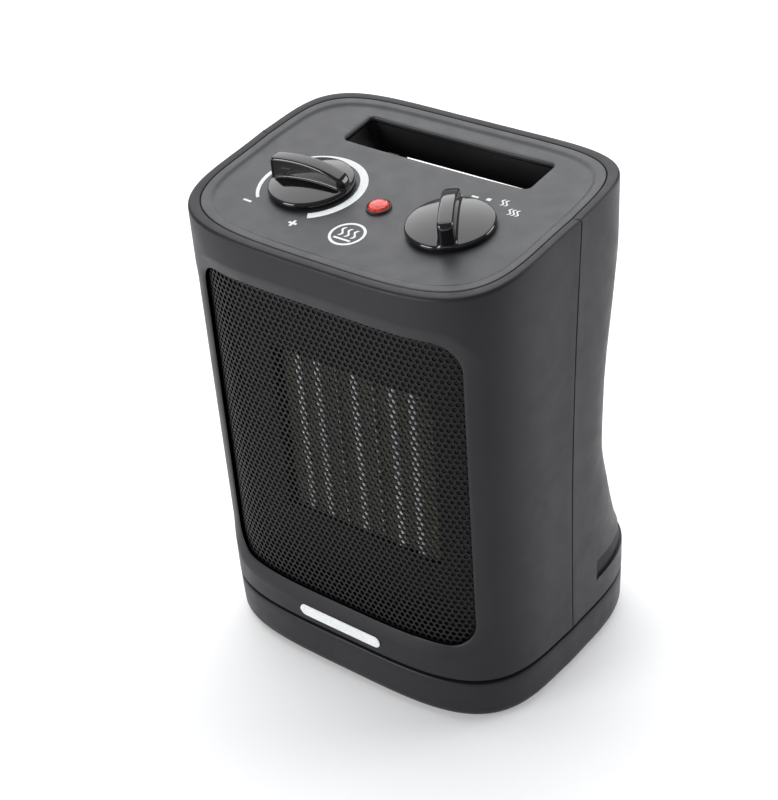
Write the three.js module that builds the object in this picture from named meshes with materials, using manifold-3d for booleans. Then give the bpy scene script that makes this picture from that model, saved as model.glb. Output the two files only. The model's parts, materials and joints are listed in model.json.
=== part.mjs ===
// Oscillating ceramic space heater: a body on a turntable base, with a front grille, a PTC element, an axial
// fan, two rotary controls, and a carry handle cut through the top. Millimetres, +Z up, front towards -Y,
// origin on the floor at the centre of the footprint.
import * as THREE from "three";
import { mergeVertices } from "three/addons/utils/BufferGeometryUtils.js";
import Module from "manifold-3d";

const wasm = await Module();
wasm.setup();

// Driving dimensions
const GAP = 0.3; // between neighbouring pieces
const FINE = 0.15; // half of the gap at the housing seam
const WALL = 2.5;
const RING_POINTS = 36;

const HALF_WIDTH = 95;
const MID_Y = -5; // where front and back depths are measured from
const FRONT_DEPTH = { bottom: 73.2, top: 71 };
const FRONT_POWER = { bottom: 3.9, top: 4.5 };
const BACK_POWER = { bottom: 3.5, top: 4.6 };
const BODY_BOTTOM = 26.2;
const BODY_HEIGHT = 250; // the control panel's plane at its centre
// Depth of the back above MID_Y at each height: plinth, ledge, waist, then flaring to the rim
const BACK_PROFILE = [
  [26.2, 83.2],
  [42, 82.4],
  [60, 72],
  [90, 59.5],
  [120, 50.5],
  [150, 52],
  [205, 63.5],
  [226, 67],
  [262, 68],
];
const PANEL_SLOPE = 0.121; // the panel rises towards the back
const PANEL_SADDLE = 3.3; // how much its sides curl up at the full half-width
const PANEL_DISH = 1;
const PANEL_THICK = 2.2;
const RIM_WIDTH = 5;
const LEDGE = 7.5;

const SEAM_Y0 = -8.7; // the front and rear housings meet on a plane that leans back
const SEAM_SLOPE = 0.0476;

const GRILLE = { halfWidth: 77, bottom: 46.5, top: 218.5, corner: 14, bezel: 5.5, sheet: 0.8 };
const BEZEL_DEPTH = 1.5;
const BADGE = { halfWidth: 26, bottom: 30.7, top: 37.3 };

const BASE_TOP = 24.6;
const BASE_BOTTOM = 2.5;
const WELL = { radius: 69, floor: 19.5, thick: 2.5 };
const POST_RADIUS = 5;
const DECK = { bottom: 29, top: 31.5 };
const HUB_RADIUS = 28;
const THRUST = { inner: 18, outer: 28, thick: 2 };

const CRANK_Y = 40; // crank centre from the turntable axis
const CRANK_THROW = 23;
const CRANK_PIN = 2.5;
const SLOT_CLEARANCE = 1.5;
const OSCILLATION_MOTOR = { radius: 25, height: 18 };

const BAFFLE = { halfWidth: 84, bottom: 40, top: 222, corner: 16, thick: 2 };
const CUTOUT = { halfWidth: 12, front: -42, back: -28, height: 8.2 };
const TERMINALS = { left: -62, right: -26, front: -42, back: -28, height: 13.7 };
const ELEMENT = { x: 49.3, bottom: 77, top: 174, front: -51, depth: 18, wall: 3.5, ductBack: -13.6 };
const BAR_X = [-35, -23, 0, 23, 35];
const BAR_WIDTH = 4;
const FOLD = 12; // fin fold pitch
const FIN_SHEET = 1.4; // measured level, so about half as much through the slanted sheet

const FAN = { z: 125.5, radius: 53, ring: 57, hub: 15, blades: 7, pitch: 0.6, front: -10, depth: 16 };
const MOTOR = { radius: 24, front: 12.6, depth: 25 };
const SHAFT_RADIUS = 2.5;

const SLOT = { halfWidth: 55.2, front: 24.5, back: 48.3, corner: 3, floor: -51.5 };
const POCKET_WALL = 2.5;
const TUNNEL = { halfWidth: 44, ceiling: -20 };
const KNOB = { x: 41.1, v: -16.9, radius: 21.4, skirt: 2.6, dome: 5.6, height: 15.2, bar: 9, lift: 0.6 };
const KNOB_POINTER_HEIGHT = 7.6;
const KNOB_BORE = 10.6;
const THERMOSTAT_POINTER = -83; // degrees from straight back, towards -X
const MODE_POINTER = 32;
const CONTROL_SHAFT = { radius: 3, low: -15.6, high: 10.4 };
const CONTROL_BUSH = { radius: 6, low: -9.5, high: -5 };
const THERMOSTAT_BODY = { halfX: 17, halfY: 14, low: -29, high: -9 };
const SWITCH_BODY = { halfX: 15, halfY: 15, low: -31, high: -9 };
const LAMP = { v: -17.6, radius: 5.5, ring: 7 };

const INTAKE = { halfWidth: 52, bottom: 84, top: 176, slats: 7 };
const BAND = { bottom: 42, top: 54, start: 16, depth: 1.2 };
const SCREW_X = 66;
const SCREW_Z = [70, 184];
const BOSS_FRONT = 3;
const FOOT = { x: 66, front: -50, back: 50, radius: 9, height: 2.2 };
const BASE_SCREW = { x: 74, front: -30, back: 30 };
const SCREW_SHANK = 1.7; // radius
const SCREW_BORE = 2.1;
const PLUNGER = { x: 0, y: -45, radius: 3 };

// Colours with roughness and metalness
const FINISH = {
  housing: [0x3a3b40, 0.55, 0],
  panel: [0x6b6d71, 0.5, 0],
  gloss: [0x0c0c0e, 0.15, 0],
  mesh: [0x141416, 0.5, 0.6],
  lens: [0xc8281c, 0.2, 0],
  dark: [0x1c1c1e, 0.6, 0],
  aluminium: [0xb9bcc0, 0.35, 1],
  fin: [0x6d6a58, 0.5, 1],
  steel: [0x8d9094, 0.35, 1],
  rubber: [0x151515, 0.9, 0],
  cream: [0xd8d3c4, 0.5, 0],
  foam: [0x2a2b2d, 1, 0],
  badge: [0xdadcdf, 0.4, 0.2],
};

const heater = new THREE.Group();
const top = new THREE.Group(); // lies in the panel's plane: x across, y up the slope, z off the panel
top.position.set(0, MID_Y, BODY_HEIGHT);
top.rotation.x = Math.atan(PANEL_SLOPE);
heater.add(top);
top.updateMatrix();

// ---- solids ----

function solid(geometry) {
  const bare = geometry.clone();
  bare.deleteAttribute("normal");
  if (bare.getAttribute("uv")) bare.deleteAttribute("uv");
  const merged = mergeVertices(bare, 1e-4);
  const vertProperties = new Float32Array(merged.attributes.position.array);
  const triVerts = new Uint32Array(merged.index.array);
  return new wasm.Manifold(new wasm.Mesh({ numProp: 3, vertProperties, triVerts }));
}

function geometryOf(shape) {
  const mesh = shape.getMesh();
  const geometry = new THREE.BufferGeometry();
  geometry.setAttribute("position", new THREE.BufferAttribute(new Float32Array(mesh.vertProperties), 3));
  geometry.setIndex(new THREE.BufferAttribute(new Uint32Array(mesh.triVerts), 1));
  const flat = geometry.toNonIndexed();
  flat.computeVertexNormals();
  return flat;
}

function add(parent, name, shape, finish) {
  const [color, roughness, metalness] = FINISH[finish];
  const material = new THREE.MeshStandardMaterial({ color, roughness, metalness });
  const mesh = new THREE.Mesh(geometryOf(shape), material);
  mesh.name = name;
  parent.add(mesh);
  return mesh;
}

function cut(shape, ...tools) {
  return tools.reduce((left, tool) => left.subtract(tool), shape);
}

function join(shape, ...others) {
  return others.reduce((whole, other) => whole.add(other), shape);
}

function block(x0, x1, y0, y1, z0, z1) {
  const box = new THREE.BoxGeometry(x1 - x0, y1 - y0, z1 - z0);
  return solid(box.translate((x0 + x1) / 2, (y0 + y1) / 2, (z0 + z1) / 2));
}

// A round bar standing on (x, y) from z0 to z1.
function rod(radius, x, y, z0, z1, sides = 16) {
  const bar = new THREE.CylinderGeometry(radius, radius, z1 - z0, sides).rotateX(Math.PI / 2);
  return solid(bar.translate(x, y, (z0 + z1) / 2));
}

// A round bar along Y through (x, z) from y0 to y1.
function rodY(radius, x, z, y0, y1, sides = 16) {
  const bar = new THREE.CylinderGeometry(radius, radius, y1 - y0, sides);
  return solid(bar.translate(x, (y0 + y1) / 2, z));
}

// A profile of [radius, height] pairs, turned about Z.
function turned(profile, sides = 32) {
  const points = profile.map(([radius, height]) => new THREE.Vector2(radius, height));
  return solid(new THREE.LatheGeometry(points, sides).rotateX(Math.PI / 2));
}

function ringOf(inner, outer, z0, z1, sides = 20) {
  return turned([[inner, z0], [outer, z0], [outer, z1], [inner, z1], [inner, z0]], sides);
}

function roundedRectangle(x0, x1, y0, y1, radius) {
  const shape = new THREE.Shape();
  shape.moveTo(x0 + radius, y0);
  shape.lineTo(x1 - radius, y0);
  shape.absarc(x1 - radius, y0 + radius, radius, -Math.PI / 2, 0);
  shape.lineTo(x1, y1 - radius);
  shape.absarc(x1 - radius, y1 - radius, radius, 0, Math.PI / 2);
  shape.lineTo(x0 + radius, y1);
  shape.absarc(x0 + radius, y1 - radius, radius, Math.PI / 2, Math.PI);
  shape.lineTo(x0, y0 + radius);
  shape.absarc(x0 + radius, y0 + radius, radius, Math.PI, Math.PI * 1.5);
  return shape;
}

function prism(shape, z0, z1, curveSegments = 4) {
  const settings = { depth: z1 - z0, bevelEnabled: false, curveSegments };
  return solid(new THREE.ExtrudeGeometry(shape, settings).translate(0, 0, z0));
}

// A shape drawn in X and Z, pushed along Y from y0 to y1.
function prismY(shape, y0, y1, curveSegments = 4) {
  const settings = { depth: y1 - y0, bevelEnabled: false, curveSegments };
  return solid(new THREE.ExtrudeGeometry(shape, settings).rotateX(Math.PI / 2).translate(0, y1, 0));
}

// Puts a shape that was made in the panel's own frame into the heater's frame.
function fromPanel(shape) {
  return solid(geometryOf(shape).applyMatrix4(top.matrix));
}

// ---- the moulded outline ----

function mix(a, b, t) {
  return a + (b - a) * t;
}

function backDepth(z) {
  const last = BACK_PROFILE.length - 1;
  if (z <= BACK_PROFILE[0][0]) return BACK_PROFILE[0][1];
  if (z >= BACK_PROFILE[last][0]) return BACK_PROFILE[last][1];
  const i = BACK_PROFILE.findIndex(([height]) => height > z);
  const [z0, d0] = BACK_PROFILE[i - 1];
  const [z1, d1] = BACK_PROFILE[i];
  return mix(d0, d1, (z - z0) / (z1 - z0));
}

// Plan outline of the body at height z, drawn in from the outer surface, as a superellipse whose front and
// back halves have their own depths and powers. height(x, y) gives each point its z.
function ring(z, inset = 0, height = () => z) {
  const t = (Math.min(z, BODY_HEIGHT) - BODY_BOTTOM) / (BODY_HEIGHT - BODY_BOTTOM);
  const points = [];
  for (let i = 0; i < RING_POINTS; i++) {
    const angle = (i / RING_POINTS) * 2 * Math.PI;
    const c = Math.cos(angle);
    const s = Math.sin(angle);
    const powers = s < 0 ? FRONT_POWER : BACK_POWER;
    const power = mix(powers.bottom, powers.top, t);
    const depth = (s < 0 ? mix(FRONT_DEPTH.bottom, FRONT_DEPTH.top, t) : backDepth(z)) - inset;
    const x = (HALF_WIDTH - inset) * Math.sign(c) * Math.abs(c) ** (2 / power);
    const y = MID_Y + depth * Math.sign(s) * Math.abs(s) ** (2 / power);
    points.push([x, y, height(x, y)]);
  }
  return points;
}

function panelHeight(x, y) {
  return BODY_HEIGHT + PANEL_SLOPE * (y - MID_Y) + PANEL_SADDLE * (Math.abs(x) / HALF_WIDTH) ** 3;
}

// A ring near the top that follows the panel's surface, moved up or down by offset.
function topRing(inset, offset) {
  return ring(BODY_HEIGHT, inset, (x, y) => panelHeight(x, y) + offset);
}

// Closes a stack of rings into a solid: capped at both ends, or joined last to first as a hollow shell.
function skin(rings, capped) {
  const n = rings[0].length;
  const points = rings.flat();
  const triangles = [];
  const last = rings.length - 1;
  const bands = capped ? last : rings.length;
  for (let k = 0; k < bands; k++) {
    const low = k * n;
    const high = ((k + 1) % rings.length) * n;
    for (let j = 0; j < n; j++) {
      const next = (j + 1) % n;
      triangles.push(low + j, low + next, high + next, low + j, high + next, high + j);
    }
  }
  if (capped) {
    const middle = (loop) => [0, 1, 2].map((axis) => loop.reduce((sum, p) => sum + p[axis], 0) / n);
    const bottom = points.push(middle(rings[0])) - 1;
    const topCentre = points.push(middle(rings[last])) - 1;
    for (let j = 0; j < n; j++) {
      const next = (j + 1) % n;
      triangles.push(bottom, next, j, topCentre, last * n + j, last * n + next);
    }
  }
  const geometry = new THREE.BufferGeometry();
  geometry.setAttribute("position", new THREE.Float32BufferAttribute(points.flat(), 3));
  geometry.setIndex(triangles);
  return solid(geometry);
}

const LEVELS = BACK_PROFILE.map(([z]) => z).filter((z) => z < 230);

// The body's volume, drawn in by inset, up to a given offset from the panel's surface.
function bodyCore(inset, bottom = BODY_BOTTOM, topOffset = 0, topInset = inset) {
  const levels = LEVELS.filter((z) => z > bottom + 1);
  const sides = [bottom, ...levels].map((z) => ring(z, inset));
  return skin([...sides, topRing(topInset, topOffset)], true);
}

// ---- housings ----

function housingShell() {
  const outer = [ring(BODY_BOTTOM, 1), ring(BODY_BOTTOM + 1.2, 0), ...LEVELS.slice(1).map((z) => ring(z))];
  const rim = [topRing(0, -3), topRing(0.8, -0.9), topRing(2.4, 0), topRing(RIM_WIDTH, 0)];
  const ledge = [
    topRing(RIM_WIDTH, -PANEL_THICK - GAP),
    topRing(LEDGE, -PANEL_THICK - GAP),
    topRing(LEDGE, -5),
    topRing(WALL, -10),
  ];
  const inner = LEVELS.slice(1).reverse().map((z) => ring(z, WALL));
  return skin([...outer, ...rim, ...ledge, ...inner, ring(BODY_BOTTOM, WALL)], false);
}

// Everything behind (side = 1) or in front of (side = -1) the leaning seam plane.
function seamTool(side) {
  const size = 600;
  const box = new THREE.BoxGeometry(size, size, size).translate(0, side * (size / 2 - FINE), 0);
  return solid(box.rotateX(-Math.atan(SEAM_SLOPE)).translate(0, SEAM_Y0, 0));
}

function grilleWindow(grow, y0, y1) {
  const halfWidth = GRILLE.halfWidth + grow;
  const bottom = GRILLE.bottom - grow;
  const topEdge = GRILLE.top + grow;
  return prismY(roundedRectangle(-halfWidth, halfWidth, bottom, topEdge, GRILLE.corner + grow), y0, y1);
}

function intakeWindow(grow) {
  const halfWidth = INTAKE.halfWidth + grow;
  return prismY(roundedRectangle(-halfWidth, halfWidth, INTAKE.bottom - grow, INTAKE.top + grow, 6), 20, 100);
}

function tunnelTool() {
  return block(-TUNNEL.halfWidth, TUNNEL.halfWidth, SLOT.front + 12, 100, SLOT.floor, TUNNEL.ceiling);
}

function slotTool(w0, w1) {
  const { halfWidth, front, back, corner } = SLOT;
  return prism(roundedRectangle(-halfWidth, halfWidth, front, back, corner), w0, w1, 3);
}

function addHousings() {
  const shell = housingShell();
  const bezel = cut(grilleWindow(GRILLE.bezel, -100, -20), bodyCore(BEZEL_DEPTH));
  const front = cut(shell, seamTool(1), grilleWindow(0, -100, -20), bezel);
  add(heater, "front_housing", front, "housing");

  const wide = 2 * HALF_WIDTH;
  const band = cut(block(-wide, wide, BAND.start, wide, BAND.bottom, BAND.top), bodyCore(BAND.depth));
  let rear = cut(shell, seamTool(-1), intakeWindow(0), fromPanel(tunnelTool()), band);
  const inside = bodyCore(WALL - 0.5, BODY_BOTTOM, -12);
  for (const x of [-SCREW_X, SCREW_X]) {
    for (const z of SCREW_Z) {
      rear = join(rear, rodY(5, x, z, BOSS_FRONT, 90, 10).intersect(inside));
      rear = cut(rear, rodY(2, x, z, 0, 100, 8), rodY(4.2, x, z, screwFace(z), 100, 12));
    }
  }
  add(heater, "rear_housing", rear, "housing");
}

// Where the head of a housing screw seats, a few millimetres inside the back wall.
function screwFace(z) {
  return MID_Y + backDepth(z) * 0.84;
}

function addHousingScrews() {
  let count = 0;
  for (const z of SCREW_Z) {
    for (const x of [-SCREW_X, SCREW_X]) {
      count += 1;
      const face = screwFace(z) + GAP;
      const head = rodY(3.4, x, z, face, face + 2.2, 12);
      const screw = join(rodY(1.6, x, z, BOSS_FRONT - 8, face + 0.5, 8), head);
      add(heater, `housing_screw_${count}`, screw, "steel");
    }
  }
}

function addPanel() {
  const edge = RIM_WIDTH + GAP;
  const dished = -PANEL_DISH;
  const under = -PANEL_DISH - PANEL_THICK;
  const rings = [
    topRing(60, under),
    topRing(LEDGE + 1, under),
    topRing(LEDGE + 1, -PANEL_THICK),
    topRing(edge, -PANEL_THICK),
    topRing(edge, 0),
    topRing(13, 0),
    topRing(16.5, dished),
    topRing(60, dished),
  ];
  const holes = [
    rod(4.2, -KNOB.x, KNOB.v, -9, 9),
    rod(4.2, KNOB.x, KNOB.v, -9, 9),
    rod(LAMP.radius + 0.4, 0, LAMP.v, -9, 9),
    slotTool(-9, 9),
  ];
  add(heater, "top_panel", cut(skin(rings, true), ...holes.map(fromPanel)), "panel");
}

function addHandlePocket() {
  const halfWidth = SLOT.halfWidth + POCKET_WALL;
  const floor = SLOT.floor - POCKET_WALL;
  const lid = -PANEL_DISH - PANEL_THICK - 0.4;
  const outer = fromPanel(block(-halfWidth, halfWidth, SLOT.front - POCKET_WALL, 56, floor, lid));
  const fitted = outer.intersect(bodyCore(WALL + GAP, BODY_BOTTOM, -2));
  const hollow = cut(fitted, fromPanel(slotTool(SLOT.floor, 9)), fromPanel(tunnelTool()));
  add(heater, "handle_pocket", hollow, "dark");
}

function addGrilles() {
  const face = WALL + GAP;
  const curved = cut(bodyCore(face), bodyCore(face + GRILLE.sheet));
  add(heater, "front_grille", curved.intersect(grilleWindow(3, -100, -20)), "mesh");

  const slats = [];
  const pitch = (INTAKE.top - INTAKE.bottom) / (INTAKE.slats + 0.5);
  for (let i = 0; i < INTAKE.slats; i++) {
    const z = INTAKE.bottom + pitch * (i + 0.5);
    slats.push(block(-INTAKE.halfWidth + 5, -3, 20, 100, z, z + pitch * 0.5));
    slats.push(block(3, INTAKE.halfWidth - 5, 20, 100, z, z + pitch * 0.5));
  }
  const back = cut(bodyCore(0.4), bodyCore(2.2)).intersect(intakeWindow(-GAP));
  add(heater, "rear_grille", cut(back, ...slats), "housing");
  const halfWidth = INTAKE.halfWidth - 2;
  const filter = block(-halfWidth, halfWidth, 39, 40.5, INTAKE.bottom + 2, INTAKE.top - 2);
  add(heater, "dust_filter", filter, "foam");
}

function addBadge() {
  const strip = cut(bodyCore(-0.8), bodyCore(-0.15));
  const radius = (BADGE.top - BADGE.bottom) / 2 - 0.01;
  const outline = roundedRectangle(-BADGE.halfWidth, BADGE.halfWidth, BADGE.bottom, BADGE.top, radius);
  add(heater, "badge", strip.intersect(prismY(outline, -100, -20)), "badge");
}

// ---- controls, in the panel's plane ----

// A domed disc under a grip bar that is tall at its tail and low at its pointer, which is towards +Y.
function knobSolid() {
  const { radius, skirt, dome, height, bar } = KNOB;
  const body = turned([
    [0, 0],
    [radius, 0],
    [radius, skirt],
    [radius * 0.93, skirt + 0.9],
    [radius * 0.5, dome - 0.6],
    [0, dome],
  ], 24);
  const side = [
    [-radius, 1],
    [radius, 1],
    [radius, KNOB_POINTER_HEIGHT - 1.5],
    [radius - 2, KNOB_POINTER_HEIGHT],
    [radius * 0.5, height - 3.4],
    [0, height - 0.8],
    [3 - radius, height],
    [-radius, height - 3],
  ];
  const outline = new THREE.Shape(side.map(([y, z]) => new THREE.Vector2(y, z)));
  const wedge = prism(outline, -bar / 2, bar / 2).rotate([90, 0, 90]);
  const grip = wedge.intersect(rod(radius, 0, 0, 0, height, 24));
  return cut(join(body, grip), rod(CONTROL_SHAFT.radius + GAP, 0, 0, -1, KNOB_BORE, 16));
}

function addControl(name, x, pointer, deviceName, { halfX, halfY, low, high }) {
  const knob = add(top, `${name}_knob`, knobSolid(), "gloss");
  knob.position.set(x, KNOB.v, KNOB.lift);
  knob.rotation.z = THREE.MathUtils.degToRad(pointer);
  const shaft = rod(CONTROL_SHAFT.radius, 0, 0, CONTROL_SHAFT.low, CONTROL_SHAFT.high, 16);
  add(top, `${name}_shaft`, shaft, "steel").position.set(x, KNOB.v, 0);
  const bush = rod(CONTROL_BUSH.radius, 0, 0, CONTROL_BUSH.low, CONTROL_BUSH.high, 16);
  const device = join(block(-halfX, halfX, -halfY, halfY, low, high), bush);
  const bored = cut(device, rod(CONTROL_SHAFT.radius + GAP, 0, 0, CONTROL_SHAFT.low - 0.4, 9, 16));
  add(top, deviceName, bored, "cream").position.set(x, KNOB.v, 0);
}

function addLamp() {
  const lens = turned([[0, -3.4], [4.9, -3.4], [LAMP.radius, 0.1], [4.1, 1.5], [0, 2.2]], 10);
  add(top, "lamp_lens", lens, "lens").position.set(0, LAMP.v, 0);
  add(top, "lamp_ring", ringOf(LAMP.radius + GAP, LAMP.ring, -0.7, 0.3), "dark").position.set(0, LAMP.v, 0);
  add(top, "lamp_body", rod(4.9, 0, 0, -20, -3.8, 20), "cream").position.set(0, LAMP.v, 0);
}

// ---- heating element ----

function addElementFrame() {
  const { x, bottom, top: high, front, wall, ductBack } = ELEMENT;
  const duct = block(-x - wall, x + wall, front - 1, ductBack, bottom - wall, high + wall);
  const { halfWidth, corner, thick } = BAFFLE;
  const plateShape = roundedRectangle(-halfWidth, halfWidth, BAFFLE.bottom, BAFFLE.top, corner);
  const baffle = prismY(plateShape, front - 1 - thick, front - 1 + 0.1);
  add(heater, "element_frame", cut(join(duct, baffle), block(-x, x, -90, 0, bottom, high)), "dark");
}

// A zigzag fin strip between x0 and x1 that climbs the whole element.
function foldedFin(x0, x1) {
  const bottom = ELEMENT.bottom + GAP;
  const height = ELEMENT.top - GAP - bottom;
  const legs = 2 * Math.floor(height / FOLD);
  const [y0, y1] = [ELEMENT.front + 0.5, ELEMENT.front + ELEMENT.depth - 0.5];
  const rings = [];
  for (let i = 0; i <= legs; i++) {
    const left = i % 2 ? x1 - FIN_SHEET : x0;
    const right = left + FIN_SHEET;
    const z = bottom + (height * i) / legs;
    rings.push([[left, y0, z], [right, y0, z], [right, y1, z], [left, y1, z]]);
  }
  return skin(rings, true);
}

function plate(x) {
  const { bottom, top: high, front, depth } = ELEMENT;
  return block(x - 0.5, x + 0.5, front, front + depth, bottom + GAP, high - GAP);
}

function addElement() {
  const half = BAR_WIDTH / 2;
  const { bottom, top: high, front, depth } = ELEMENT;
  BAR_X.forEach((x, i) => {
    const bar = block(x - half, x + half, front - 0.5, front + depth, bottom + GAP, high - GAP);
    add(heater, `ptc_bar_${i + 1}`, bar, "aluminium");
  });
  const [outer, inner, middle] = BAR_X;
  const clear = half + GAP;
  const endPlate = outer - 11.5;
  const midPlate = (inner + middle) / 2;
  const edgeBank = join(plate(endPlate), foldedFin(endPlate, outer - clear));
  const narrowBank = foldedFin(outer + clear, inner - clear);
  const wideFins = [foldedFin(inner + clear, midPlate), foldedFin(midPlate, middle - clear)];
  const wideBank = join(plate(midPlate), ...wideFins);
  [edgeBank, narrowBank, wideBank].forEach((bank, i) => {
    add(heater, `fin_bank_${i + 1}`, bank, "fin");
    add(heater, `fin_bank_${6 - i}`, bank.mirror([1, 0, 0]), "fin");
  });
  const seat = high + ELEMENT.wall + GAP;
  const { halfWidth, height } = CUTOUT;
  const cutout = block(-halfWidth, halfWidth, CUTOUT.front, CUTOUT.back, seat, seat + height);
  add(heater, "thermal_cutout", cutout, "cream");
}

// ---- fan ----

function addFan() {
  const { z, ring: inner, hub, blades, pitch, front, depth, radius } = FAN;
  const plateShape = roundedRectangle(-64, 64, z - 64, z + 64, 10);
  const wallBack = front + depth + 2;
  const plate = prismY(plateShape, front - 3.3, front - 1.3);
  const shroud = join(plate, rodY(inner + 2, 0, z, front - 2, wallBack, 32));
  add(heater, "fan_shroud", cut(shroud, rodY(inner, 0, z, -40, 40, 32)), "dark");

  let rotor = rodY(hub, 0, 0, 0, depth, 24);
  for (let i = 0; i < blades; i++) {
    const shape = new THREE.Shape();
    shape.moveTo(hub - 3, -6);
    shape.lineTo(radius, -12);
    shape.lineTo(radius, 9);
    shape.lineTo(hub - 3, 6);
    const settings = { depth: 1.8, bevelEnabled: false };
    const blade = new THREE.ExtrudeGeometry(shape, settings);
    blade.translate(0, 0, -0.9).rotateX(Math.PI / 2 + pitch);
    rotor = join(rotor, solid(blade.translate(0, depth / 2, 0).rotateY((i / blades) * 2 * Math.PI)));
  }
  const bored = cut(rotor, rodY(SHAFT_RADIUS + GAP, 0, 0, -1, depth + 1, 12));
  add(heater, "impeller", bored, "dark").position.set(0, front, z);
  add(heater, "fan_shaft", rodY(SHAFT_RADIUS, 0, 0, 0, 30, 12), "steel").position.set(0, front, z);

  const strip = prismY(roundedRectangle(-60, 60, z - 9, z + 9, 4), wallBack + GAP, wallBack + 2);
  add(heater, "motor_bracket", cut(strip, rodY(6, 0, z, 0, 40)), "steel");
  const can = rodY(MOTOR.radius, 0, z, MOTOR.front, MOTOR.front + MOTOR.depth, 32);
  add(heater, "fan_motor", cut(can, rodY(SHAFT_RADIUS + GAP, 0, z, 0, 22, 12)), "steel");
}

// ---- turntable and base ----

function addDeck() {
  const inset = WALL + GAP + 0.2;
  const floor = skin([ring(DECK.bottom, inset), ring(DECK.top, inset)], true);
  const hub = rod(HUB_RADIUS, 0, 0, WELL.floor + THRUST.thick + 2 * GAP, DECK.bottom + 1, 24);
  const whole = cut(join(floor, hub), rod(POST_RADIUS + GAP, 0, 0, 0, 60), rod(4.5, 0, CRANK_Y, 0, 60));
  add(heater, "deck", whole, "dark");
  const seat = DECK.top + GAP;
  const { left, right, front, back, height } = TERMINALS;
  add(heater, "terminal_block", block(left, right, front, back, seat, seat + height), "cream");
}

function addOscillationDrive() {
  const pinY = CRANK_Y + CRANK_THROW;
  const arm = roundedRectangle(-6, 6, CRANK_Y - 6, pinY + 5, 5);
  const crank = join(
    prism(arm, BASE_TOP + 0.7, DECK.bottom - 0.8),
    rod(3.8, 0, CRANK_Y, BASE_TOP + 0.7, DECK.top + 6),
    rod(CRANK_PIN, 0, pinY, WELL.floor + 1.2, BASE_TOP + 1, 16),
  );
  add(heater, "crank", crank, "steel");
  const { radius, height } = OSCILLATION_MOTOR;
  const can = rod(radius, 0, CRANK_Y, DECK.top + GAP, DECK.top + height, 32);
  add(heater, "oscillation_motor", cut(can, rod(4.2, 0, CRANK_Y, 0, DECK.top + 7)), "steel");

  const half = CRANK_PIN + SLOT_CLEARANCE;
  const slotEnd = pinY + half;
  const slotStart = Math.hypot(CRANK_Y, CRANK_THROW) - half;
  const bar = roundedRectangle(-10, 10, slotStart - 8, slotEnd + 1, 1);
  const slot = roundedRectangle(-half, half, slotStart, slotEnd - 0.2, half - 0.01);
  const link = cut(prism(bar, WELL.floor + GAP, WELL.floor + 4), prism(slot, 0, 60));
  add(heater, "drive_link", link, "cream");
}

function baseRing(z, inset) {
  return ring(BODY_BOTTOM, inset, () => z);
}

function screwSpots({ x, front, back }) {
  return [[-x, front], [x, front], [-x, back], [x, back]];
}

function addBase() {
  const outer = skin([
    baseRing(BASE_BOTTOM, 3.2),
    baseRing(BASE_BOTTOM + 1, 2),
    baseRing(BASE_BOTTOM + 3.5, 0.9),
    baseRing(BASE_TOP - 1, 0.2),
    baseRing(BASE_TOP, 1),
  ], true);
  const hollow = skin([baseRing(0, WALL + 1.2), baseRing(BASE_TOP - WALL, WALL + 0.8)], true);
  const wellOuter = rod(WELL.radius + WALL, 0, 0, WELL.floor - WELL.thick, 60, 32);
  const bosses = screwSpots(BASE_SCREW).map(([x, y]) => rod(5, x, y, BASE_BOTTOM + 2.5, BASE_TOP - 1, 10));
  const bores = screwSpots(BASE_SCREW).map(([x, y]) => rod(SCREW_BORE, x, y, 0, BASE_TOP - 4, 8));
  const shell = cut(outer, rod(WELL.radius, 0, 0, WELL.floor, 60, 32), cut(hollow, wellOuter));
  const post = rod(POST_RADIUS, 0, 0, WELL.floor - 1, DECK.top + 0.6);
  const whole = join(shell, post, ...bosses);
  const gland = rodY(5, 0, 13, 60, 100);
  const pivotBore = rod(SCREW_BORE, 0, 0, WELL.floor + 1, 60, 12);
  add(heater, "base_shell", cut(whole, pivotBore, gland, ...bores), "housing");

  const footSpots = screwSpots(FOOT);
  const lid = cut(
    skin([baseRing(BASE_BOTTOM, WALL + 1.6), baseRing(BASE_BOTTOM + 2, WALL + 1.6)], true),
    ...screwSpots(BASE_SCREW).map(([x, y]) => rod(SCREW_BORE, x, y, 0, 9, 8)),
    ...footSpots.map(([x, y]) => rod(3, x, y, 0, 9, 8)),
    rod(PLUNGER.radius + 0.4, PLUNGER.x, PLUNGER.y, 0, 9, 16),
  );
  add(heater, "base_plate", lid, "dark");
  footSpots.forEach(([x, y], i) => {
    const foot = join(rod(FOOT.radius, x, y, 0, FOOT.height, 16), rod(2.6, x, y, FOOT.height - 1, 6.5, 8));
    add(heater, `foot_${i + 1}`, foot, "rubber");
  });
  screwSpots(BASE_SCREW).forEach(([x, y], i) => {
    const screw = join(rod(3.6, x, y, 0.8, BASE_BOTTOM - GAP, 12), rod(SCREW_SHANK, x, y, 1, 17, 8));
    add(heater, `base_screw_${i + 1}`, screw, "steel");
  });
  add(heater, "cord_gland", ringOf(3.2, 4.7, 0, 11, 20).rotate([-90, 0, 0]).translate([0, 66, 13]), "rubber");
  const thrust = ringOf(THRUST.inner, THRUST.outer, WELL.floor + GAP, WELL.floor + GAP + THRUST.thick, 24);
  add(heater, "thrust_ring", thrust, "cream");
  const shank = rod(SCREW_SHANK, 0, 0, WELL.floor + 2, DECK.top + 1, 10);
  const screw = join(rod(12, 0, 0, DECK.top + 0.9, DECK.top + 3), shank);
  add(heater, "pivot_screw", screw, "steel");
}

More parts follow.
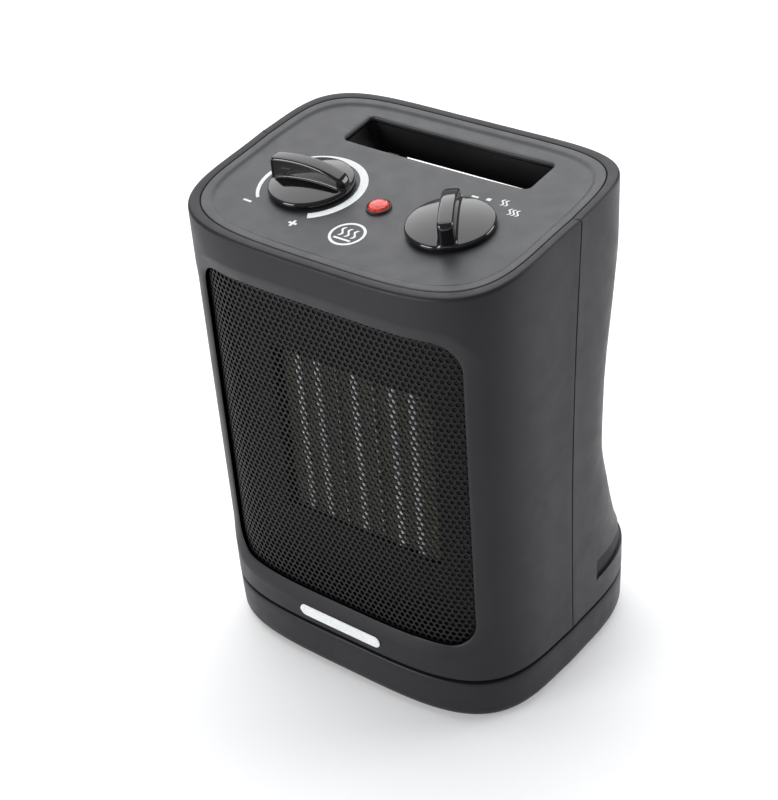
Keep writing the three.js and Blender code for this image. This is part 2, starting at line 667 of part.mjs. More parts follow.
function addTipSwitch() {
  const { x, y, radius } = PLUNGER;
  const hole = rod(radius + 0.4, x, y, 0, 15.2, 16);
  add(heater, "tip_switch", cut(block(x - 13, x + 13, y - 8, y + 8, BASE_BOTTOM + 2.3, 16.6), hole), "cream");
  add(heater, "tip_plunger", rod(radius, x, y, 0, 9, 16), "gloss");
  const coils = 2;
  const [low, high] = [9.7, 14.6];
  const points = [];
  for (let i = 0; i <= coils * 10; i++) {
    const angle = (i / 10) * 2 * Math.PI;
    const height = mix(low, high, i / (coils * 10));
    points.push(new THREE.Vector3(x + 2.2 * Math.cos(angle), y + 2.2 * Math.sin(angle), height));
  }
  const wire = new THREE.Shape().absarc(0, 0, 0.35, 0, 2 * Math.PI);
  const path = new THREE.CatmullRomCurve3(points);
  const coil = new THREE.ExtrudeGeometry(wire, { steps: 24, extrudePath: path, curveSegments: 2 });
  add(heater, "tip_spring", solid(coil), "steel");
}

addHousings();
addHousingScrews();
addPanel();
addHandlePocket();
addGrilles();
addBadge();
addControl("thermostat", -KNOB.x, THERMOSTAT_POINTER, "thermostat", THERMOSTAT_BODY);
addControl("mode", KNOB.x, MODE_POINTER, "rotary_switch", SWITCH_BODY);
addLamp();
addElementFrame();
addElement();
addFan();
addDeck();
addOscillationDrive();
addBase();
addTipSwitch();

export default heater;
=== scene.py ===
import json
import math

import bmesh
import bpy
import numpy as np
from mathutils import Matrix, Vector


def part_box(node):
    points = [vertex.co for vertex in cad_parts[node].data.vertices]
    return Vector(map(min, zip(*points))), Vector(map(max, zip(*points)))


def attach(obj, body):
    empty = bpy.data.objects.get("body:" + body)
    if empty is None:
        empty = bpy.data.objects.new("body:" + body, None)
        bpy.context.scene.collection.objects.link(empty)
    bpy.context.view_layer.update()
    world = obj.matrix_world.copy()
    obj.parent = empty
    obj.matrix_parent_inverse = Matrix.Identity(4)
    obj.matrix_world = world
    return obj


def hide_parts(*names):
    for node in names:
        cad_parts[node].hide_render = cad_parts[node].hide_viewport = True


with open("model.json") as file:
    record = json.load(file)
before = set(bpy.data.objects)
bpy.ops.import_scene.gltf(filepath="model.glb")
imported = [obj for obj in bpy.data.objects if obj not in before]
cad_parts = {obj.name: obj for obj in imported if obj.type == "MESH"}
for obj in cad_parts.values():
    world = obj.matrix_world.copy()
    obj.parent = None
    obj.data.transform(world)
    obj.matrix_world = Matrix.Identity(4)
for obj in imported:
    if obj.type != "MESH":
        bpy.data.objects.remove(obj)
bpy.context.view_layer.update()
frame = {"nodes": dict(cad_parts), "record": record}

MM = 0.001


def corners(node):
    """A CAD node's lowest and highest corner, in millimetres."""
    low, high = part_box(node)
    return np.array(low) / MM, np.array(high) / MM


# ---- driving sizes, from the frame where it holds them ----

GAP = 0.3  # between neighbouring pieces
WALL = 2.5
MID_Y = -5.0  # where the plan outline is widest
HALF_WIDTH = corners("front_housing")[1][0]
BODY_BOTTOM = corners("front_housing")[0][2]
BODY_HEIGHT = 250.0
FRONT_DEPTH = (73.2, 71.0)  # this and the two powers: at the bottom, then at the top
FRONT_POWER = (3.9, 4.5)
BACK_POWER = (3.5, 4.6)
BACK_PROFILE = ((26.2, 83.2), (42, 82.4), (60, 72), (90, 59.5), (120, 50.5), (150, 52),  # height, depth
                (205, 63.5), (226, 67), (262, 68))
PANEL_SLOPE = 0.121
PANEL_SADDLE = 3.3
PANEL_DISH = 1.0
PANEL_THICK = 2.2
RIM_WIDTH = 5.0
LEDGE = 7.5  # inset of the inner edge of the ledge that carries the panel
SEAM_Y0 = -8.7
SEAM_SLOPE = 0.0476
SEAM_BOW = 3.4  # how far it bows towards the front at mid-height
SEAM_CREASE = 0.06  # how steeply both sides fall away from the seam, and over what distance that fades
SEAM_REACH = 20.0
OUTLINE_POINTS = 320
SLOPE_ROOM = 22  # the upright rings of a core stop this far under the sloping top
QUARTER = np.radians((0, 30, 60, 90))
FINE_QUARTER = np.radians(np.arange(0, 91, 15))

GRILLE = {"x": 78.5, "low": 46.5, "high": 218.5, "corner": 14.0, "bezel": 8.2, "depth": 2.7, "face": 4.3}
MESH_PITCH = 3.3
MESH_HOLE = 1.22  # hole radius
MESH_SHEET = 0.8
INTAKE = {"x": 52.0, "low": 84.0, "high": 176.0, "corner": 6.0}
BAND = {"low": 42.0, "high": 54.0, "start": 16.0, "depth": 1.2}
SLOT = {"x": 55.2, "front": 24.5, "back": 48.3, "corner": 3.0, "floor": -51.5}
TUNNEL = {"x": 48.0, "ceiling": -19.6}
POCKET_WALL = 2.5
KNOB = {"radius": 21.3, "skirt": 2.4, "dome": 5.4, "height": 14.9, "bar": 8.4, "drop": 8.2,
        "lift": 0.6, "v": -16.9, "x": 41.1}
THERMOSTAT_POINTER, MODE_POINTER = -83, 32  # degrees, as in the photograph
SHAFT_HOLE = 4.2
SCALE = {"radius": 27.2, "thin": 1.6, "thick": 4.1, "start": -137, "widest": 60, "end": 146}
LAMP_V = -17.6
LAMP_RADIUS = 5.5
BASE_BOTTOM, BASE_TOP = 2.5, 24.6
WELL = {"radius": 69.0, "floor": 19.5, "thick": 2.5}
SCREW_SPOTS = [(x, z) for z in (70.0, 184.0) for x in (-66.0, 66.0)]
BASE_SCREWS = [(x, y) for y in (-30.0, 30.0) for x in (-74.0, 74.0)]
FOOT_SPOTS = [(x, y) for y in (-50.0, 50.0) for x in (-66.0, 66.0)]
ELEMENT = {"low": 77.0, "high": 174.0, "front": -51.0, "depth": 18.0}
BAR_X = (-35.0, -23.0, 0.0, 23.0, 35.0)

CAMERA = {"azimuth": 40.36, "elevation": 32.97, "roll": -4.467, "distance": 903.45,
          "across": -13.928, "above": 4.759, "lens": 80.03}
LIGHT_TARGET = (0, 0, 0.12)
LIGHTS = (("overhead", (-1.0, 1.0, 2.0), (3.6, 3.4), 88),  # name, place, size, watts
          ("left_window", (-0.9, -2.0, 0.7), (1.0, 1.0), 27),
          ("right_fill", (1.6, 1.9, 0.9), (1.4, 1.4), 32))
SKY_COLOUR, SKY_STRENGTH = (0.93, 0.95, 1.0, 1), 0.3
FLOOR_HALF, FLOOR_GLOW = 4.0, 0.22


# ---- small mesh kit ----

def mesh_object(name, points, faces):
    mesh = bpy.data.meshes.new(name)
    mesh.from_pydata((np.asarray(points, float) * MM).tolist(), [], [list(map(int, f)) for f in faces])
    piece = bpy.data.objects.new(name, mesh)
    bpy.context.scene.collection.objects.link(piece)
    return piece


def bake(piece):
    """Applies a piece's modifiers."""
    graph = bpy.context.evaluated_depsgraph_get()
    made = bpy.data.meshes.new_from_object(piece.evaluated_get(graph))
    spent = piece.data
    piece.modifiers.clear()
    piece.data = made
    bpy.data.meshes.remove(spent)
    return piece


def boolean(piece, tool, operation):
    modifier = piece.modifiers.new("cut", "BOOLEAN")
    modifier.operation = operation
    modifier.solver = "MANIFOLD"
    modifier.object = tool
    bake(piece)
    spent = tool.data
    bpy.data.objects.remove(tool)
    bpy.data.meshes.remove(spent)
    if not len(piece.data.polygons):
        raise RuntimeError(f"nothing is left of {piece.name}")
    return piece


def cut(piece, *tools):
    for tool in tools:
        boolean(piece, tool, "DIFFERENCE")
    return piece


def join(piece, *others):
    for other in others:
        boolean(piece, other, "UNION")
    return piece


def common(piece, other):
    return boolean(piece, other, "INTERSECT")


def gather(name, pieces):
    """Several separate closed meshes as one object."""
    points, faces = [], []
    for piece in pieces:
        start = len(points)
        points += [tuple(v.co / MM) for v in piece.data.vertices]
        faces += [[start + i for i in p.vertices] for p in piece.data.polygons]
        spent = piece.data
        bpy.data.objects.remove(piece)
        bpy.data.meshes.remove(spent)
    return mesh_object(name, points, faces)


def skin(name, rings, capped=True):
    """A stack of equal rings as a closed mesh: capped at both ends, or last joined to first."""
    rings = np.asarray(rings, float)
    levels, n, _ = rings.shape
    bands = levels - 1 if capped else levels
    k = np.repeat(np.arange(bands), n)
    j = np.tile(np.arange(n), bands)
    low, high, nxt = k * n, ((k + 1) % levels) * n, (j + 1) % n
    faces = np.stack([low + j, low + nxt, high + nxt, high + j], 1).tolist()
    points = rings.reshape(-1, 3)
    if capped:
        points = np.vstack([points, rings[0].mean(0), rings[-1].mean(0)])
        bottom, top, last = levels * n, levels * n + 1, (levels - 1) * n
        faces += [[bottom, (i + 1) % n, i] for i in range(n)]
        faces += [[top, last + i, last + (i + 1) % n] for i in range(n)]
    return mesh_object(name, points, faces)


def lathe(name, profile, centre=(0, 0, 0), sides=96, axis="Z"):
    """A profile of (radius, height) pairs, turned. It starts and ends on the axis, or closes on itself."""
    hollow = profile[0] == profile[-1]
    used = profile[:-1] if hollow else profile[1:-1]
    angle = np.linspace(0, 2 * math.pi, sides, endpoint=False)
    rings = [np.stack([r * np.cos(angle), r * np.sin(angle), np.full(sides, h)], 1) for r, h in used]
    piece = skin(name, rings, capped=not hollow)
    if not hollow:
        ends = piece.data.vertices
        ends[len(ends) - 2].co.z = profile[0][1] * MM
        ends[len(ends) - 1].co.z = profile[-1][1] * MM
    turn = {"Z": Matrix.Identity(4), "Y": Matrix.Rotation(-math.pi / 2, 4, "X")}[axis]
    piece.data.transform(Matrix.Translation(Vector(centre) * MM) @ turn)
    return piece


def rod(name, radius, x, y, z0, z1, sides=48):
    return lathe(name, [(0, z0), (radius, z0), (radius, z1), (0, z1)], (x, y, 0), sides)


def rod_y(name, radius, x, z, y0, y1, sides=48):
    return lathe(name, [(0, y0), (radius, y0), (radius, y1), (0, y1)], (x, 0, z), sides, "Y")


def block(name, x0, x1, y0, y1, z0, z1):
    ring = np.array([(x0, y0), (x1, y0), (x1, y1), (x0, y1)])
    return skin(name, [at_height(ring, z) for z in (z0, z1)])


def rounded_outline(x0, x1, y0, y1, radius, arc=10, along=8):
    """A rounded rectangle as (points, outward normals), anticlockwise, with its straight sides divided."""
    points, normals = [], []
    spots = ((x1 - radius, y0 + radius, -90), (x1 - radius, y1 - radius, 0),
             (x0 + radius, y1 - radius, 90), (x0 + radius, y0 + radius, 180))
    for x, y, start in spots:
        if points:
            points, normals = divide(points, normals, (x, y), radius, start, along)
        for a in np.radians(np.linspace(start, start + 90, arc + 1)):
            points.append((x + radius * math.cos(a), y + radius * math.sin(a)))
            normals.append((math.cos(a), math.sin(a)))
    points, normals = divide(points, normals, spots[0][:2], radius, spots[0][2], along)
    return np.array(points), np.array(normals)


def divide(points, normals, centre, radius, start, along):
    """Adds the points of a straight side, up to the next corner's arc."""
    a = math.radians(start)
    target = np.array(centre) + radius * np.array([math.cos(a), math.sin(a)])
    last = np.array(points[-1])
    for i in range(1, along):
        points.append(tuple(last + (target - last) * i / along))
        normals.append((math.cos(a), math.sin(a)))
    return points, normals


def flared_cutter(name, outline_2d, profile, place, outside, beyond):
    """A cutter whose mouth widens to follow a curved surface.

    profile holds (growth, depth) from the mouth in, place(a, b, depth) puts a point under the surface, and
    outside and beyond extend the two ends."""
    points, normals = outline_2d
    rings = [place(*(points + normals * grow).T, depth) for grow, depth in profile]
    rings = [rings[0] + outside] + rings + [rings[-1] + beyond]
    return skin(name, rings)


def fillet(radius, steps=5, start=24.0):
    """(growth, depth) pairs of a rounded mouth edge, with a straight lead above the surface."""
    a = np.radians(np.linspace(start, 90, steps))
    pairs = [(radius * (1 - math.sin(t)), radius * (1 - math.cos(t))) for t in a]
    lead = 0.8
    first = (pairs[0][0] + lead * math.cos(a[0]), pairs[0][1] - lead * math.sin(a[0]))
    return [first] + pairs


def outward(piece):
    """Turns the faces of a closed mesh outwards."""
    shape = bmesh.new()
    shape.from_mesh(piece.data)
    bmesh.ops.recalc_face_normals(shape, faces=shape.faces)
    shape.to_mesh(piece.data)
    shape.free()
    return piece


def finish_piece(piece, material, body="heater_body", replaces=(), sharp=32.0):
    """Gives a new piece its material and shading, ties it to its body, and hides the CAD nodes it replaces.
    """
    piece.data.materials.clear()
    piece.data.materials.append(material)
    piece.data.polygons.foreach_set("use_smooth", [True] * len(piece.data.polygons))
    piece.data.set_sharp_from_angle(angle=math.radians(sharp))
    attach(piece, body)
    if replaces:
        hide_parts(*replaces)
    return piece


# ---- the moulded outline ----

def mix(a, b, t):
    return a + (b - a) * t


def height_share(z):
    return (np.minimum(z, BODY_HEIGHT) - BODY_BOTTOM) / (BODY_HEIGHT - BODY_BOTTOM)


def back_depth(z):
    """The back's depth at height z, as a smooth curve through BACK_PROFILE that doesn't overshoot."""
    heights, depths = np.array(BACK_PROFILE, float).T
    steps = np.diff(heights)
    slopes = np.diff(depths) / steps
    after, before = slopes[1:], slopes[:-1]
    inner = np.where(after * before > 0, 2 * after * before / (after + before), 0.0)
    tangents = np.concatenate([[slopes[0]], inner, [slopes[-1]]])
    z = np.clip(z, heights[0], heights[-1])
    i = np.clip(np.searchsorted(heights, z, side="right") - 1, 0, len(steps) - 1)
    t = (z - heights[i]) / steps[i]
    start = depths[i] * (1 + 2 * t) * (1 - t) ** 2 + steps[i] * tangents[i] * t * (1 - t) ** 2
    end = depths[i + 1] * t * t * (3 - 2 * t) + steps[i] * tangents[i + 1] * t * t * (t - 1)
    return start + end


def seam_y(z):
    """Where the two housings meet on the sides, at height z."""
    return SEAM_Y0 + SEAM_SLOPE * z - SEAM_BOW * np.sin(math.pi * np.clip(height_share(z), 0, 1))


def outline(z, inset=0.0):
    """Plan outline of the body at height z, evenly spaced along its length, as an array of (x, y)."""
    t = height_share(z)
    angle = np.linspace(0, 2 * math.pi, 1440)
    c, s = np.cos(angle), np.sin(angle)
    power = np.where(s < 0, mix(*FRONT_POWER, t), mix(*BACK_POWER, t))
    depth = np.where(s < 0, mix(*FRONT_DEPTH, t), back_depth(z)) - inset
    x = (HALF_WIDTH - inset) * np.sign(c) * np.abs(c) ** (2 / power)
    y = MID_Y + depth * np.sign(s) * np.abs(s) ** (2 / power)
    off = np.abs(y - seam_y(z))
    x -= np.sign(c) * SEAM_CREASE * off * np.exp(-off / SEAM_REACH)
    length = np.concatenate([[0], np.cumsum(np.hypot(np.diff(x), np.diff(y)))])
    even = np.linspace(0, length[-1], OUTLINE_POINTS, endpoint=False)
    return np.column_stack([np.interp(even, length, x), np.interp(even, length, y)])


def at_height(flat, z):
    return np.column_stack([flat, np.full(len(flat), z)])


def ring(z, inset=0.0):
    return at_height(outline(z, inset), z)


def base_ring(z, inset):
    return at_height(outline(BODY_BOTTOM, inset), z)


def panel_height(x, y):
    return BODY_HEIGHT + PANEL_SLOPE * (y - MID_Y) + PANEL_SADDLE * (np.abs(x) / HALF_WIDTH) ** 3


def top_ring(inset, offset):
    flat = outline(BODY_HEIGHT, inset)
    return np.column_stack([flat, panel_height(*flat.T) + offset])


def side_y(x, z, side, inset=0.0):
    """Y of the front (side -1) or back (side 1) surface at x and z."""
    t = height_share(z)
    powers, depth = (FRONT_POWER, mix(*FRONT_DEPTH, t)) if side < 0 else (BACK_POWER, back_depth(z))
    power = mix(*powers, t)
    u = np.clip(np.abs(x) / (HALF_WIDTH - inset), 0, 0.9999)
    return MID_Y + side * (depth - inset) * (1 - u ** power) ** (1 / power)


def under_surface(x, z, depth, side):
    """Points at x and z on the front or back, moved under the surface by depth along its normal."""
    y = side_y(x, z, side)
    step = 0.05
    dx = (side_y(x + step, z, side) - side_y(x - step, z, side)) / (2 * step)
    dz = (side_y(x, z + step, side) - side_y(x, z - step, side)) / (2 * step)
    normal = np.stack([-dx, np.ones_like(x), -dz], 1) * side
    normal /= np.linalg.norm(normal, axis=1)[:, None]
    return np.stack([x, y, z], 1) - normal * depth


PANEL_FRAME = Matrix.Translation((0, MID_Y, BODY_HEIGHT)) @ Matrix.Rotation(math.atan(PANEL_SLOPE), 4, "X")
PANEL_TURN = np.array(PANEL_FRAME.to_3x3())
PANEL_ORIGIN = np.array([0, MID_Y, BODY_HEIGHT])


def from_panel(points):
    """Points given across, up the slope and off the panel's plane, in the heater's frame."""
    return np.asarray(points, float) @ PANEL_TURN.T + PANEL_ORIGIN


def dished(x, v, depth):
    """Points at a depth under the dished panel's face."""
    lift = PANEL_SADDLE * (np.abs(x) / HALF_WIDTH) ** 3 - PANEL_DISH
    return from_panel(np.stack([x, v, lift - depth + np.zeros_like(x)], 1))


def body_core(inset, top_offset, bottom=BODY_BOTTOM):
    """The body as one solid, inset all round, with its top moved by top_offset."""
    levels = np.arange(bottom, BODY_HEIGHT - SLOPE_ROOM, 4.0)
    return skin("core", [ring(z, inset) for z in levels] + [top_ring(inset, top_offset)])


# ---- housings ----

def housing_shell(name):
    """The hollow body, before it is split and cut open."""
    foot_rise, lip = 1.2, 0.6
    crown_run, crown_drop = 1.6, 1.9
    under = -PANEL_THICK - GAP
    rings = [ring(BODY_BOTTOM + foot_rise * math.sin(a), 1 - math.sin(a)) for a in QUARTER]
    rings += [ring(z) for z in np.arange(BODY_BOTTOM + 3, 232, 3.0)]
    rings += [top_ring(crown_run * (1 - math.cos(a)), -crown_drop * (1 - math.sin(a))) for a in FINE_QUARTER]
    rings += [top_ring(RIM_WIDTH - lip + lip * math.sin(a), lip * (math.cos(a) - 1)) for a in QUARTER]
    rings += [top_ring(RIM_WIDTH, under), top_ring(LEDGE, under), top_ring(LEDGE, -5), top_ring(WALL, -10)]
    rings += [ring(z, WALL) for z in np.arange(224, BODY_BOTTOM + 1, -6.0)] + [ring(BODY_BOTTOM, WALL)]
    return skin(name, rings, capped=False)


def seam_slab(name, start, end):
    """Everything between two copies of the seam, moved along Y by start and by end."""
    far = 300.0
    z = np.linspace(-40, far, 86)
    loop = np.vstack([np.column_stack([seam_y(z) + start, z]), np.column_stack([seam_y(z) + end, z])[::-1]])
    return outward(skin(name, [np.column_stack([np.full(len(loop), x), loop]) for x in (-far, far)]))


def seam_groove():
    """A shallow groove along the seam, so that its edges read as rounded."""
    width, depth = 0.42, 0.3
    return cut(seam_slab("groove", -width, width), body_core(depth, -depth, BODY_BOTTOM - 2))


def grille_cutter():
    x = GRILLE["x"]
    shape = rounded_outline(-x, x, GRILLE["low"], GRILLE["high"], GRILLE["corner"], 14, 40)
    bezel, depth = GRILLE["bezel"], GRILLE["depth"]
    rise = 0.2
    share = np.linspace(0, 1, 6)
    slope = [(bezel * (1 - t), depth * t ** 1.15) for t in share]
    profile = [(bezel + 0.5, -rise)] + [(max(grow, 0.5), sink) for grow, sink in slope[:-1]]
    profile += [(0.45, depth - 0.1), (0.12, depth + 0.25), (0.0, depth + 0.8)]
    return flared_cutter("window", shape, profile, lambda x, z, d: under_surface(x, z, d, -1),
                         np.array([0, -25, 0]), np.array([0, 18, 0]))


def back_cutter(name, shape, profile, beyond):
    return outward(flared_cutter(name, shape, profile, lambda x, z, d: under_surface(x, z, d, 1),
                                 np.array([0, 25, 0]), np.array([0, -beyond, 0])))


def intake_cutter():
    x = INTAKE["x"]
    shape = rounded_outline(-x, x, INTAKE["low"], INTAKE["high"], INTAKE["corner"], 8, 24)
    return back_cutter("intake", shape, fillet(1.2) + [(0.0, 1.6)], 12)


def finger_cutter():
    """The opening of the handle at the back of the housing."""
    low, high = from_panel([[0, 60, SLOT["floor"]], [0, 60, TUNNEL["ceiling"]]])[:, 2]
    shape = rounded_outline(-TUNNEL["x"], TUNNEL["x"], low, high, 5.0, 8, 20)
    return back_cutter("finger", shape, fillet(1.6) + [(0.0, 2.0)], 15)


def make_front_housing(material):
    shell = housing_shell("front_shell")
    cut(shell, seam_slab("seam", -GAP / 2, 300), seam_groove(), outward(grille_cutter()))
    finish_piece(shell, material, replaces=("front_housing",), sharp=26)


def make_rear_housing(material, band_material):
    shell = housing_shell("rear_shell")
    cut(shell, seam_slab("seam", -300, GAP / 2), seam_groove(), intake_cutter(), finger_cutter())
    wide = 2 * HALF_WIDTH
    band = block("band", -wide, wide, BAND["start"], wide, BAND["low"], BAND["high"])
    cut(shell, cut(band, body_core(BAND["depth"], -BAND["depth"], BODY_BOTTOM - 2)))
    inside = 3.0
    for x, z in SCREW_SPOTS:
        face = MID_Y + float(back_depth(z)) * 0.84
        boss = common(rod_y("boss", 5, x, z, inside, 90), body_core(WALL - 0.5, -12))
        cut(join(shell, boss), rod_y("bore", 2, x, z, 0, 100), rod_y("counterbore", 4.2, x, z, face, 100))
    finish_piece(shell, material, replaces=("rear_housing",), sharp=26)
    shell.data.materials.append(band_material)
    for face in shell.data.polygons:
        x, y, z = face.center / MM
        if y > BAND["start"] and BAND["low"] < z < BAND["high"] and is_sunk(x, y, z):
            face.material_index = 1


def is_sunk(x, y, z):
    """True where a point lies under the outer surface as the band does, but not on the inner wall."""
    edge = outline(z)
    nearest = np.min(np.hypot(edge[:, 0] - x, edge[:, 1] - y))
    return BAND["depth"] * 0.6 < nearest < WALL * 0.8


def make_top_panel(material):
    edge = RIM_WIDTH + GAP
    lip = 0.5
    side = [top_ring(edge, -PANEL_THICK)]
    side += [top_ring(edge + lip * (1 - math.cos(a)), lip * (math.sin(a) - 1)) for a in QUARTER]
    border = [top_ring(inset, 0) for inset in (6.6, 7.6, 8.4)]
    step_out, step_in = 8.6, 11.0
    step = []
    for t in np.linspace(0, 1, 8)[1:]:
        step.append(top_ring(mix(step_out, step_in, t), -PANEL_DISH * t * t * (3 - 2 * t)))
    field = [top_ring(inset, -PANEL_DISH) for inset in (11.8, 14, 16.5)]
    field += [shrunk_ring(19, share, -PANEL_DISH) for share in np.linspace(1, 0.02, 22)]
    under = -PANEL_DISH - PANEL_THICK
    below = [top_ring(60, under), top_ring(LEDGE + 1, under), top_ring(LEDGE + 1, -PANEL_THICK)]
    panel = skin("control_panel", below + side + border + step + field)
    for x in (-KNOB["x"], KNOB["x"]):
        cut(panel, panel_rod("hole", SHAFT_HOLE, x, KNOB["v"], -9, 9))
    cut(panel, panel_rod("hole", LAMP_RADIUS + 0.4, 0, LAMP_V, -9, 9))
    cut(panel, slot_cutter())
    finish_piece(panel, material, replaces=("top_panel",), sharp=30)


def shrunk_ring(inset, share, offset):
    """A ring on the panel's surface, drawn in towards the panel's middle."""
    middle = np.array([0, MID_Y])
    flat = middle + (outline(BODY_HEIGHT, inset) - middle) * share
    return np.column_stack([flat, panel_height(*flat.T) + offset])


def panel_rod(name, radius, x, v, w0, w1):
    return place_on_panel(rod(name, radius, x, v, w0, w1))


def place_on_panel(piece):
    turn = PANEL_FRAME.copy()
    turn.translation = Vector(PANEL_ORIGIN) * MM
    piece.data.transform(turn)
    return piece


def slot_cutter():
    shape = rounded_outline(-SLOT["x"], SLOT["x"], SLOT["front"], SLOT["back"], SLOT["corner"], 8, 22)
    up = PANEL_TURN[:, 2]
    return outward(flared_cutter("slot", shape, fillet(1.1) + [(0.0, 1.5)], dished, up * 12, up * -12))


def panel_prism(name, shape, w0, w1):
    points, _ = shape
    return skin(name, [from_panel(at_height(points, w)) for w in (w0, w1)])


def make_handle_pocket(material):
    half = SLOT["x"] + POCKET_WALL
    lid = -PANEL_DISH - PANEL_THICK - 0.4
    shape = rounded_outline(-half, half, SLOT["front"] - POCKET_WALL, 56, 4, 8, 4)
    pocket = panel_prism("pocket", shape, SLOT["floor"] - POCKET_WALL, lid)
    common(pocket, body_core(WALL + GAP, -2))
    inner = rounded_outline(-SLOT["x"], SLOT["x"], SLOT["front"], SLOT["back"], SLOT["corner"], 8, 4)
    tunnel = panel_prism("tunnel", rounded_outline(-TUNNEL["x"], TUNNEL["x"], 36.5, 100, 1, 2, 1),
                         SLOT["floor"], TUNNEL["ceiling"])
    cut(pocket, panel_prism("inner", inner, SLOT["floor"], 9), tunnel)
    finish_piece(pocket, material, replaces=("handle_pocket",))


# ---- grilles ----

def make_front_grille(material):
    """A curved sheet with round holes in staggered rows. Each hole's cell is a hexagon cut into twelve."""
    inset = GRILLE["face"]
    sides, merge = 12, 50  # points of a hole, and divisions of a millimetre that tell points apart
    x = np.linspace(0, 80, 400)
    level = 130.0
    arc = np.concatenate([[0], np.cumsum(np.hypot(np.diff(x), np.diff(side_y(x, level, -1, inset))))])
    middle = (GRILLE["low"] + GRILLE["high"]) / 2
    rise = MESH_PITCH * math.sqrt(3) / 2
    rows = int((GRILLE["high"] - GRILLE["low"]) / 2 / rise) + 1
    columns = int(arc[-1] / MESH_PITCH)
    centres = []
    for i in range(-rows, rows + 1):
        for j in range(-columns, columns + 1):
            s = MESH_PITCH * (j + 0.5 * (i % 2))
            if abs(s) < arc[-1] - MESH_PITCH * 0.6:
                centres.append((s, middle + rise * i))
    centres = np.array(centres)
    around = np.arange(sides)
    turns = np.radians(around * 30)
    reach = np.where(around % 2, MESH_PITCH / math.sqrt(3), MESH_PITCH / 2)
    unit = np.column_stack([np.cos(turns), np.sin(turns)])
    cell = np.vstack([unit * reach[:, None], unit * MESH_HOLE])
    flat = (centres[:, None] + cell[None]).reshape(-1, 2)
    keys, where = np.unique(np.round(flat * merge).astype(int), axis=0, return_inverse=True)
    where = where.reshape(len(centres), 2 * sides)
    spots = np.zeros((len(keys), 2))
    spots[where.ravel()] = flat
    after = (around + 1) % sides
    corners_of = (around, after, sides + after, sides + around)
    quads = np.stack([where[:, spots_at] for spots_at in corners_of], 2).reshape(-1, 4)
    px = np.sign(spots[:, 0]) * np.interp(np.abs(spots[:, 0]), arc, x)
    pz = spots[:, 1]
    front = np.column_stack([px, side_y(px, pz, -1, inset), pz])
    back = front + [0, MESH_SHEET, 0]
    edges = np.stack([quads, np.roll(quads, -1, 1)], 2).reshape(-1, 2)
    _, index, uses = np.unique(np.sort(edges, 1), axis=0, return_index=True, return_counts=True)
    open_edges = edges[index[uses == 1]]
    n = len(spots)
    walls = np.column_stack([open_edges[:, 1], open_edges[:, 0], open_edges[:, 0] + n, open_edges[:, 1] + n])
    faces = np.vstack([quads, quads[:, ::-1] + n, walls])
    sheet = mesh_object("perforated_front", np.vstack([front, back]), faces)
    finish_piece(outward(sheet), material, replaces=("front_grille",), sharp=40)


def make_rear_grille(material):
    window = rounded_outline(-INTAKE["x"] + GAP, INTAKE["x"] - GAP, INTAKE["low"] + GAP, INTAKE["high"] - GAP,
                             INTAKE["corner"] - GAP, 8, 24)
    plate = common(cut(body_core(0.4, -12), body_core(2.2, -14, BODY_BOTTOM - 5)),
                   prism_y("intake_window", window, 20, 100))
    plate.name = plate.data.name = "rear_louvre"
    slots = []
    rows, columns = 13, 3
    height, rib = 3.2, 3.6
    edge_x, edge_z = 5, 4
    half = height / 2
    pitch = (INTAKE["high"] - INTAKE["low"] - 2 * edge_z) / rows
    span = (2 * INTAKE["x"] - 2 * edge_x) / columns
    for i in range(rows):
        z = INTAKE["low"] + edge_z + pitch * (i + 0.5)
        for j in range(columns):
            x0 = -INTAKE["x"] + edge_x + span * j + rib / 2
            shape = rounded_outline(x0, x0 + span - rib, z - half, z + half, half - 0.05, 6, 4)
            slots.append(prism_y("slat", shape, 20, 100))
    cut(plate, gather("slats", slots))
    finish_piece(plate, material, replaces=("rear_grille",))


def prism_y(name, shape, y0, y1):
    points, _ = shape
    rings = [np.column_stack([points[:, 0], np.full(len(points), y), points[:, 1]]) for y in (y1, y0)]
    return skin(name, rings)


def make_badge(material):
    """A blank raised strip with round ends, on the lip under the grille."""
    (x0, _, z0), (x1, _, z1) = corners("badge")
    radius = (z1 - z0) / 2 - 0.01
    points, normals = rounded_outline(x0, x1, z0, z1, radius, 12, 24)
    profile = [(0.0, -0.18), (0.0, -0.4), (-0.15, -0.6), (-0.45, -0.72), (-1.2, -0.75)]
    rings = [under_surface(*(points + normals * grow).T, depth, -1) for grow, depth in profile]
    for share in (0.66, 0.33, 0.04):
        shrunk = np.column_stack([points[:, 0], (z0 + z1) / 2 + (points[:, 1] - (z0 + z1) / 2) * share])
        rings.append(under_surface(*shrunk.T, -0.76, -1))
    strip = outward(skin("blank_badge", rings))
    finish_piece(strip, material, replaces=("badge",))


# ---- controls ----

def smooth_max(a, b, reach):
    h = np.maximum(reach - np.abs(a - b), 0) / reach
    return np.maximum(a, b) + h * h * reach / 4


def smooth_min(a, b, reach):
    return -smooth_max(-a, -b, reach)


